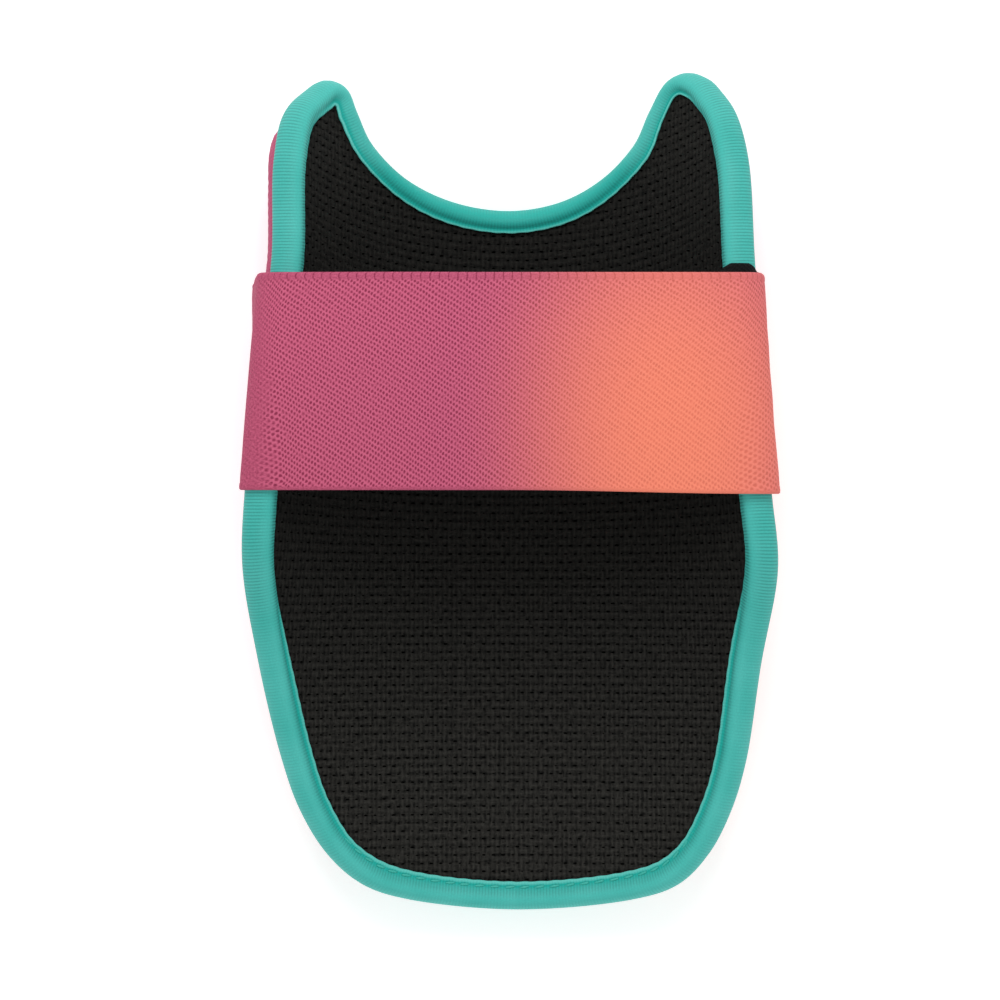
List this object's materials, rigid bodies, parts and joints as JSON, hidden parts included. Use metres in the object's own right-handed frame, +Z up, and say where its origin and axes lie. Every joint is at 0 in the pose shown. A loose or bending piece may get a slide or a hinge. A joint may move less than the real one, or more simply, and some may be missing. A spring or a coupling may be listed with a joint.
{
  "type": "elbow guard",
  "caption": "Padded trough-shaped elbow guard with a scooped top, taped edge and mesh lining, held round the arm by a wide elastic strap.",
  "frame": {"origin": "middle of the guard's box on the surface that it lies on, outer face down", "axes": "+X across the guard, +Y from the tongue to the horns, +Z up out of the open side"},
  "size_m": [0.1266, 0.2006, 0.0542],
  "materials": {
    "shell_cover": "printed knit cover over moulded foam, pink to orange",
    "lining_mesh": "black spacer mesh with rows of small holes",
    "binding_tape": "teal ribbed tape, stitched",
    "strap_elastic": "printed knitted elastic, magenta fading to orange",
    "hook_tape": "black hook tape"
  },
  "bodies": {
    "root": {"outer_shell": "shell_cover", "lining": "lining_mesh", "edge_binding": "binding_tape", "strap": "strap_elastic", "strap_hook_tab": "hook_tape"}
  },
  "joints": []
}
